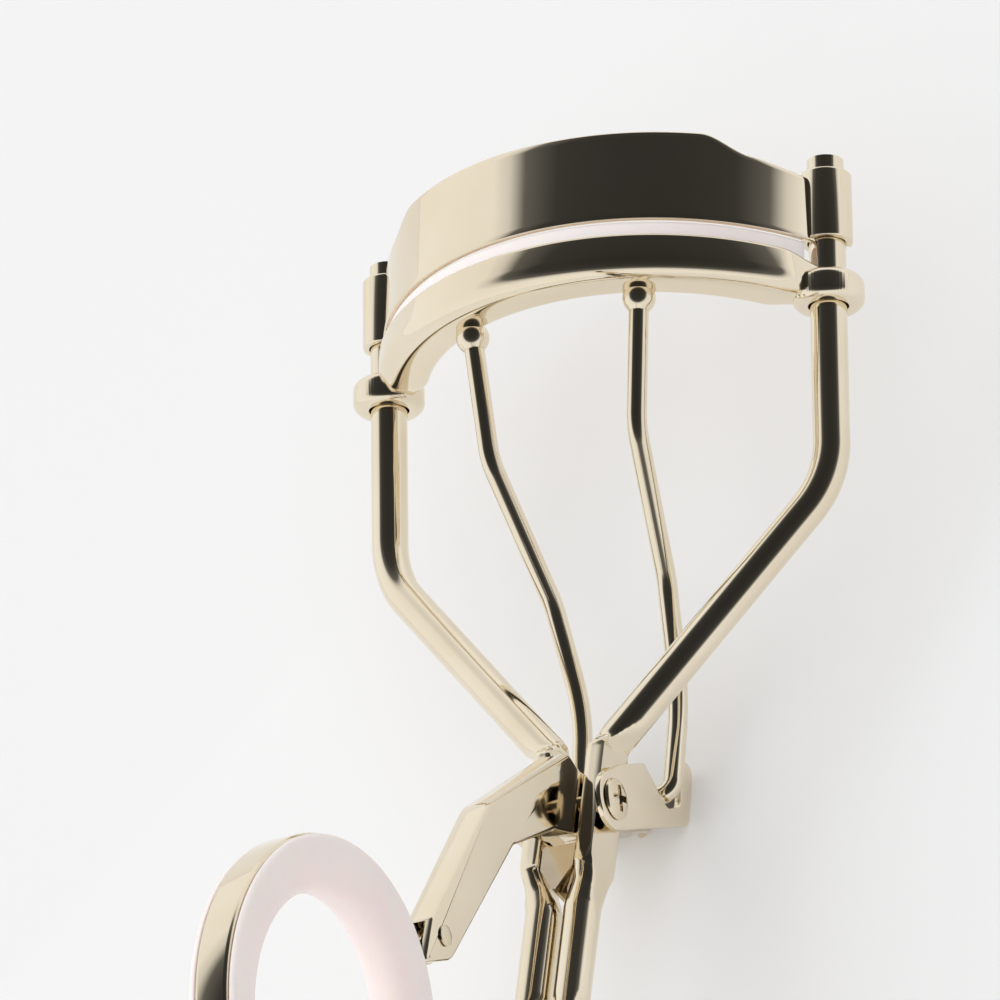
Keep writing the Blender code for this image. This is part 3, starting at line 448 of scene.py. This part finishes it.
ball_arc = [math.radians(45 + 135 * step / 18) for step in range(19)]
collar = [(0.72, 0.42, 0.0), (0.8, 0.4, 0.0)]
ball_profile = [(max(BALL_RADIUS * math.sin(a), 0.0), -0.6 + BALL_RADIUS * math.cos(a), 0.0)
                for a in ball_arc]
for side, name in ((-1, "left_link_ball"), (1, "right_link_ball")):
    end = Vector((side * BALL_X, ball_v, ball_w))
    knee = Vector((side * leg[1][0], leg[1][1], leg[1][2]))
    down = (knee - end).normalized()
    knob = turned(collar + ball_profile, (0, 1, 0), 40)
    bmesh.ops.holes_fill(knob, edges=knob.edges, sides=60)
    aim = Vector((0, 1, 0)).rotation_difference(down).to_matrix().to_4x4()
    bmesh.ops.transform(knob, matrix=Matrix.Translation(end) @ aim, verts=knob.verts)
    place_piece(name + "_swaged", knob, handle, "bail", [name], bail_plating)

# ---------------------------------------------------------------- yoke
# Two flat ears stamped with a notch each and joined by a flat web, folded from one steel blank.
# It turns with the lever on the pivot screws and pulls the bail's crossbar down.
yoke_plating = plating("yoke_plating", CHAMPAGNE, CHAMPAGNE_DEEP, 0.06, 0.05)
EAR = math.radians(-56.2)
REST = -10.96
EAR_TOP = 2.6
EAR_BOTTOM = -2.2
EAR_NOSE = 2.2
EAR_THICKNESS = 0.55
EAR_X = 3.625


def ear_point(along, across):
    """A point on the ear, from its distances along and across the ear's own line."""
    return Vector((0.0, along * math.cos(EAR) - across * math.sin(EAR),
                   along * math.sin(EAR) + across * math.cos(EAR)))


def on_table(across, height=0.0):
    """Where the line at that distance across the ear meets a level above the table."""
    tilt = EAR + HANDLE_TILT
    return ear_point((REST + height - across * math.cos(tilt)) / math.sin(tilt), across)


def pressed_plate(outline, thickness, rim, middle=0.0):
    """A flat blank in the v-w plane, with rounded rims, centred on x = middle."""
    shape = bmesh.new()
    face = shape.faces.new([shape.verts.new(point) for point in outline])
    bmesh.ops.translate(shape, verts=shape.verts, vec=(middle - thickness / 2, 0.0, 0.0))
    made = bmesh.ops.extrude_face_region(shape, geom=[face])
    top = [item for item in made["geom"] if isinstance(item, bmesh.types.BMVert)]
    bmesh.ops.translate(shape, verts=top, vec=(thickness, 0.0, 0.0))
    bmesh.ops.recalc_face_normals(shape, faces=shape.faces)
    rims = [edge for edge in shape.edges if edge.calc_face_angle() > math.radians(60)
            and abs(edge.verts[0].co.x - edge.verts[1].co.x) < 1e-6]
    bmesh.ops.bevel(shape, geom=rims, offset=rim, segments=3, profile=0.5, affect='EDGES',
                    material=-1)
    return shape


notch = [(2.2, EAR_TOP), (5.95, EAR_TOP), (8.4, -0.8), (10.46, -0.8), (11.95, EAR_TOP)]
corners = [ear_point(*corner) for corner in notch] + [on_table(EAR_TOP), on_table(EAR_BOTTOM)]
nose = [ear_point(EAR_NOSE * math.cos(a), EAR_NOSE * math.sin(a))
        for a in [math.radians(-90 - 180 * step / 28) for step in range(29)]]
loop = filleted([nose[-1]] + corners + [nose[0]], [1.5, 0.35, 0.9, 0.9, 0.3, 0.9, 0.9], 6)
ear_outline = nose[1:-1] + loop
for side, name in ((-1, "left_yoke_ear"), (1, "right_yoke_ear")):
    ear = pressed_plate(ear_outline, EAR_THICKNESS, 0.14, side * EAR_X)
    place_piece(name, ear, handle, "lever", ["yoke"] if side < 0 else [], yoke_plating)
WEB_LEVEL = 0.02
WEB_TOP = 0.85
web_width = 2 * EAR_X - EAR_THICKNESS + 0.2
web = pressed_plate([on_table(-1.2, WEB_LEVEL), on_table(1.3, WEB_LEVEL), on_table(1.3, WEB_TOP),
                     on_table(-1.2, WEB_TOP)], web_width, 0.12)
place_piece("yoke_web", web, handle, "lever", [], yoke_plating)
plate_node("yoke_rivet", yoke_plating)

# ---------------------------------------------------------------- pivot screws
# Two short machine screws with low domed heads and a cross recess, one through each ear.
# Their heads are plated a slightly darker, rougher champagne than the wires, cross recesses
# included.
screw_plating = plating("screw_plating", (0.84, 0.74, 0.57), (0.72, 0.61, 0.44), 0.09, 0.06)
SHANK_RADIUS = 0.8
SHANK_END = 0.75
HEAD_RADIUS = 1.6
HEAD_SEAT = 3.96
HEAD_TOP = 4.38
CROSS_SIZE = (2.0, 0.5, 0.7)
CROSS_TURN = 0.4


def cut_away(blank, tool, crossing=False):
    """The blank with the tool's shape cut out of it; crossing is for a tool of crossed bars."""
    holders = []
    for part, shape in (("blank", blank), ("tool", tool)):
        mesh = bpy.data.meshes.new(part)
        shape.to_mesh(mesh)
        shape.free()
        holder = bpy.data.objects.new(part, mesh)
        bpy.context.scene.collection.objects.link(holder)
        holders.append(holder)
    cut = holders[0].modifiers.new("cut", 'BOOLEAN')
    cut.operation = 'DIFFERENCE'
    cut.use_self = crossing
    cut.object = holders[1]
    bpy.context.view_layer.update()
    shape = bmesh.new()
    shape.from_mesh(holders[0].evaluated_get(bpy.context.evaluated_depsgraph_get()).to_mesh())
    for holder in holders:
        bpy.data.objects.remove(holder)
    return shape


screw_profile = [(0.0, point.x, point.y) for point in
                 filleted([(0.0, SHANK_END, 0.0), (SHANK_RADIUS, SHANK_END, 0.0),
                           (SHANK_RADIUS, HEAD_SEAT, 0.0), (HEAD_RADIUS, HEAD_SEAT, 0.0),
                           (1.52, 4.2, 0.0), (0.9, HEAD_TOP, 0.0), (0.0, HEAD_TOP, 0.0)],
                          [0.15, 0.05, 0.06, 0.3, 1.0], 6)]
for side, name in ((-1, "left_pivot_screw"), (1, "right_pivot_screw")):
    screw = turned(screw_profile, (0, 0, 1), 48)
    bmesh.ops.recalc_face_normals(screw, faces=screw.faces)
    cross = bmesh.new()
    for turn in (CROSS_TURN, CROSS_TURN + math.pi / 2):
        bar_of_cross = bmesh.ops.create_cube(cross, size=1.0)["verts"]
        bmesh.ops.scale(cross, vec=CROSS_SIZE, verts=bar_of_cross)
        bmesh.ops.rotate(cross, verts=bar_of_cross, cent=(0, 0, 0),
                         matrix=Matrix.Rotation(turn, 3, 'Z'))
    bmesh.ops.translate(cross, verts=cross.verts, vec=(0.0, 0.0, HEAD_TOP + 0.03))
    shape = cut_away(screw, cross, crossing=True)
    bmesh.ops.rotate(shape, verts=shape.verts, cent=(0, 0, 0),
                     matrix=Matrix.Rotation(side * math.pi / 2, 3, 'Y'))
    place_piece(name + "_crosshead", shape, handle, "lever", [name], screw_plating, 30.0)

# ---------------------------------------------------------------- lever arm
# Stamped steel lever: a solid round head on the pivot with a tail back to the yoke, and an arm
# folded to a channel that opens downwards and takes the ring's tongue.
arm_plating = plating("arm_plating", CHAMPAGNE, CHAMPAGNE_DEEP, 0.06, 0.06)
LEVER_HEAD = 2.7
LEVER_WIDTH = 2.7
CHANNEL_NARROWING = 0.15
TAIL_TOP = -0.85
TAIL_BOTTOM = -2.1
TAIL_LEVEL = 0.91


def head_arc(start, stop, steps):
    """Points along the lever's round head from one angle to another."""
    turns = [start + (stop - start) * step / steps for step in range(steps + 1)]
    return [Vector((0.0, LEVER_HEAD * math.cos(a), LEVER_HEAD * math.sin(a))) for a in turns]


crown = head_arc(EAR + math.asin(TAIL_TOP / LEVER_HEAD), math.radians(20.0), 20)
chin = head_arc(-math.pi, EAR + math.acos(-TAIL_BOTTOM / LEVER_HEAD) - math.pi / 2, 12)
run = filleted([crown[-1], (0.0, 2.9, 2.9), (0.0, -7.7, 12.5), (0.0, -20.8, 17.7),
                (0.0, -24.8, 17.9), (0.0, -22.4, 14.4), (0.0, -8.6, 8.2), (0.0, -4.2, 3.3),
                chin[0]],
               [0.5, 4.5, 0.9, 0.3, 2.2, 1.5, 0.8], 10)
arm_outline = (crown[:-1] + run[:-1] + chin
               + [on_table(TAIL_BOTTOM, TAIL_LEVEL), on_table(TAIL_TOP, TAIL_LEVEL)])
channel = pressed_plate([Vector((0.0, v, w)) for v, w in
                         ((-3.4, 6.9), (-8.0, 11.4), (-21.0, 16.95), (-21.1, 22.0), (-30.0, 22.0),
                          (-30.0, 8.0), (-8.0, 1.0), (-5.6, 4.4))], 1.3, 0.05)
arm = cut_away(pressed_plate(arm_outline, LEVER_WIDTH, 0.35), channel)
for vert in arm.verts:
    vert.co.x *= 1.0 - CHANNEL_NARROWING * ease(vert.co.y, -4.0, -6.5)
place_piece("lever_arm_channel", arm, handle, "lever", ["lever_arm"], arm_plating)

# ---------------------------------------------------------------- finger rings
# Two oval bands bent from strip, each with a flat tongue riveted into the lever or between the
# rails, and a thick silicone grommet snapped over the band to line it.


def oval_sweep(section, long_half, short_half, steps=144):
    """A closed (depth, x) section carried round an oval; depth is measured in from its edge."""
    shape = bmesh.new()
    loops = []
    for depth, x in section:
        loops.append([shape.verts.new((x, (long_half - depth) * math.cos(math.tau * step / steps),
                                       (short_half - depth) * math.sin(math.tau * step / steps)))
                      for step in range(steps)])
    for one, two in zip(loops, loops[1:] + loops[:1]):
        for index in range(steps):
            shape.faces.new((one[index - 1], one[index], two[index], two[index - 1]))
    return shape


band_plating = plating("band_plating", CHAMPAGNE, CHAMPAGNE_DEEP, 0.05, 0.04)
grip_silicone = silicone("grip_silicone", (0.95, 0.845, 0.82), (0.91, 0.80, 0.77), 0.3)
RING_LONG = 15.5
RING_SHORT = 12.6
BAND_THICKNESS = 1.0
BAND_HALF_WIDTH = 1.3
GRIP_DEPTH = 4.1
GRIP_HALF_WIDTH = 1.9
LIP_DEPTH = 0.17
FIT = 0.06
TONGUE_HALF_WIDTH = 1.0
TONGUE_BITE = 0.6
LEVER_TAB_ACROSS = -2.55
lever_ring = (handle @ Matrix.Translation((0.0, -36.6 * MM, 29.3 * MM))
              @ Matrix.Rotation(math.radians(-34.0), 4, 'X'))
thumb_ring = handle @ Matrix.Translation((0.0, -38.5 * MM, RAIL_LEVEL * MM))
band_section = [(point.x, point.y) for point in
                filleted([(0.0, 0.0, 0.0), (0.0, BAND_HALF_WIDTH, 0.0),
                          (BAND_THICKNESS, BAND_HALF_WIDTH, 0.0),
                          (BAND_THICKNESS, -BAND_HALF_WIDTH, 0.0),
                          (0.0, -BAND_HALF_WIDTH, 0.0), (0.0, 0.0, 0.0)],
                         [0.32, 0.2, 0.2, 0.32], 5)[:-1]]
seat = BAND_THICKNESS + FIT
lip = BAND_HALF_WIDTH + FIT
grip_section = [(point.x, point.y) for point in
                filleted([(seat, 0.0, 0.0), (seat, lip, 0.0), (LIP_DEPTH, lip, 0.0),
                          (LIP_DEPTH, GRIP_HALF_WIDTH, 0.0), (GRIP_DEPTH, GRIP_HALF_WIDTH, 0.0),
                          (GRIP_DEPTH, -GRIP_HALF_WIDTH, 0.0),
                          (LIP_DEPTH, -GRIP_HALF_WIDTH, 0.0), (LIP_DEPTH, -lip, 0.0),
                          (seat, -lip, 0.0), (seat, 0.0, 0.0)],
                         [0.05, 0.12, 0.4, 1.7, 1.7, 0.4, 0.12, 0.05], 9)[:-1]]
for name, body, place, across, half_thickness, tip in (
        ("lever_ring", "lever", lever_ring, LEVER_TAB_ACROSS, 0.47, 21.1),
        ("thumb_ring", "frame", thumb_ring, 0.0, 0.94, 20.1)):
    band = oval_sweep(band_section, RING_LONG, RING_SHORT)
    place_piece(name + "_band", band, place, body, [name], band_plating)
    root = RING_LONG * math.sqrt(1 - (across / RING_SHORT) ** 2) - TONGUE_BITE
    near, far = across - TONGUE_HALF_WIDTH, across + TONGUE_HALF_WIDTH
    tongue_outline = filleted([(0.0, root + 2.0, far), (0.0, root, far), (0.0, root, near),
                               (0.0, tip, near), (0.0, tip, far), (0.0, root + 2.0, far)],
                              [0.05, 0.05, 0.95, 0.95], 8)[:-1]
    tongue = pressed_plate(tongue_outline, 2 * half_thickness, 0.15)
    place_piece(name + "_tongue", tongue, place, body, [], band_plating)
    grip = oval_sweep(grip_section, RING_LONG, RING_SHORT)
    place_piece(name + "_grommet", grip, place, body, [name + "_grip"], grip_silicone, 60.0)

# ---------------------------------------------------------------- ring rivets
# Plain steel rivets set through the lever's channel and the rails' flattened ends.
# The hammer leaves their low heads slightly duller than the plating around them.
rivet_plating = plating("rivet_plating", (0.82, 0.72, 0.56), (0.72, 0.62, 0.46), 0.12, 0.15)
RIVET_SHANK = 0.45
RIVET_HEAD = 0.78
for name, place, body, along, across, half in (
        ("lever_ring_rivet", lever_ring, "lever", 20.1, LEVER_TAB_ACROSS, 1.46),
        ("thumb_ring_rivet", thumb_ring, "frame", 19.1, 0.0, 2.91)):
    one_head = [(0.0, half), (0.55, half - 0.03), (RIVET_HEAD, half - 0.14),
                (RIVET_HEAD, half - 0.25), (RIVET_SHANK, half - 0.25)]
    rivet_profile = [(-x, radius, 0.0) for radius, x in one_head]
    rivet_profile += [(x, radius, 0.0) for radius, x in reversed(one_head)]
    rivet = turned(rivet_profile, (1, 0, 0), 32)
    bmesh.ops.translate(rivet, verts=rivet.verts, vec=(0.0, along, across))
    place_piece(name + "_set", rivet, place, body, [name], rivet_plating)

# ---------------------------------------------------------------- table
# A plain matt white table top, painted board, large enough to fill the view.
# It lies a hair below the part, and its white drifts very slightly from place to place.
TABLE_GAP = 0.0002
table_mesh = bpy.data.meshes.new("table_top")
table_shape = bmesh.new()
bmesh.ops.create_grid(table_shape, x_segments=1, y_segments=1, size=3.0)
bmesh.ops.translate(table_shape, verts=table_shape.verts, vec=(0.0, 0.0, -TABLE_GAP))
table_shape.to_mesh(table_mesh)
table_shape.free()
table_top = bpy.data.objects.new("table_top", table_mesh)
bpy.context.scene.collection.objects.link(table_top)
paper = bpy.data.materials.new("table_paper")
paper.use_nodes = True
paper_nodes = paper.node_tree.nodes
paper_links = paper.node_tree.links
paper_shader = paper_nodes["Principled BSDF"]
paper_shader.inputs["Roughness"].default_value = 0.8
paper_shader.inputs["Specular IOR Level"].default_value = 0.1
paper_place = paper_nodes.new("ShaderNodeTexCoord")
paper_noise = paper_nodes.new("ShaderNodeTexNoise")
paper_noise.inputs["Scale"].default_value = 8.0
paper_tone = paper_nodes.new("ShaderNodeValToRGB")
paper_tone.color_ramp.elements[0].color = (0.885, 0.885, 0.89, 1.0)
paper_tone.color_ramp.elements[1].color = (0.905, 0.905, 0.905, 1.0)
paper_links.new(paper_place.outputs["Object"], paper_noise.inputs["Vector"])
paper_links.new(paper_noise.outputs["Fac"], paper_tone.inputs["Fac"])
paper_links.new(paper_tone.outputs["Color"], paper_shader.inputs["Base Color"])
table_mesh.materials.append(paper)

# ---------------------------------------------------------------- light
# A studio tent: bright walls all round up to about forty degrees, a dark ceiling above them that
# the plating mirrors, and a broad soft lamp overhead that lights the table.
CEILING_AXIS = (0.351, -0.050, 0.935)
world = bpy.data.worlds.new("tent")
bpy.context.scene.world = world
world.use_nodes = True
sky_nodes = world.node_tree.nodes
sky_place = sky_nodes.new("ShaderNodeTexCoord")
sky_axis = sky_nodes.new("ShaderNodeVectorMath")
sky_axis.operation = 'DOT_PRODUCT'
sky_axis.inputs[1].default_value = CEILING_AXIS
sky_tone = sky_nodes.new("ShaderNodeValToRGB")
sky_tone.color_ramp.elements[0].position = 0.0
sky_tone.color_ramp.elements[0].color = (1.0, 1.0, 1.0, 1.0)
for position, grey in ((0.36, 0.95), (0.47, 0.72), (0.56, 0.13), (0.72, 0.045)):
    step = sky_tone.color_ramp.elements.new(position)
    step.color = (grey, grey, grey, 1.0)
sky_tone.color_ramp.elements[-1].color = (0.03, 0.03, 0.03, 1.0)
sky_links = world.node_tree.links
sky_links.new(sky_place.outputs["Generated"], sky_axis.inputs[0])
sky_links.new(sky_axis.outputs["Value"], sky_tone.inputs["Fac"])
sky_links.new(sky_tone.outputs["Color"], sky_nodes["Background"].inputs["Color"])
sky_nodes["Background"].inputs["Strength"].default_value = 1.0
for name, energy, shadow in (("overhead_fill", 72.0, False), ("overhead_soft", 22.0, True)):
    lamp_data = bpy.data.lights.new(name, 'AREA')
    lamp_data.shape = 'SQUARE'
    lamp_data.size = 5.0
    lamp_data.energy = energy
    lamp_data.use_shadow = shadow
    lamp = bpy.data.objects.new(name, lamp_data)
    lamp.location = (-0.3, 0.3, 1.6)
    lamp.visible_glossy = False
    bpy.context.scene.collection.objects.link(lamp)
bpy.context.scene.view_settings.view_transform = 'Standard'

# ---------------------------------------------------------------- camera
# A long lens from the front right, looking well down onto the table.
camera_data = bpy.data.cameras.new("camera")
camera_data.lens = 450.94
camera_data.sensor_width = 36.0
camera_data.clip_end = 10.0
camera = bpy.data.objects.new("camera", camera_data)
camera.location = (0.40339477, -0.45717175, 0.68391855)
camera.rotation_euler = [math.radians(turn) for turn in (33.970223, 28.900002, 4.531944)]
bpy.context.scene.collection.objects.link(camera)
bpy.context.scene.camera = camera
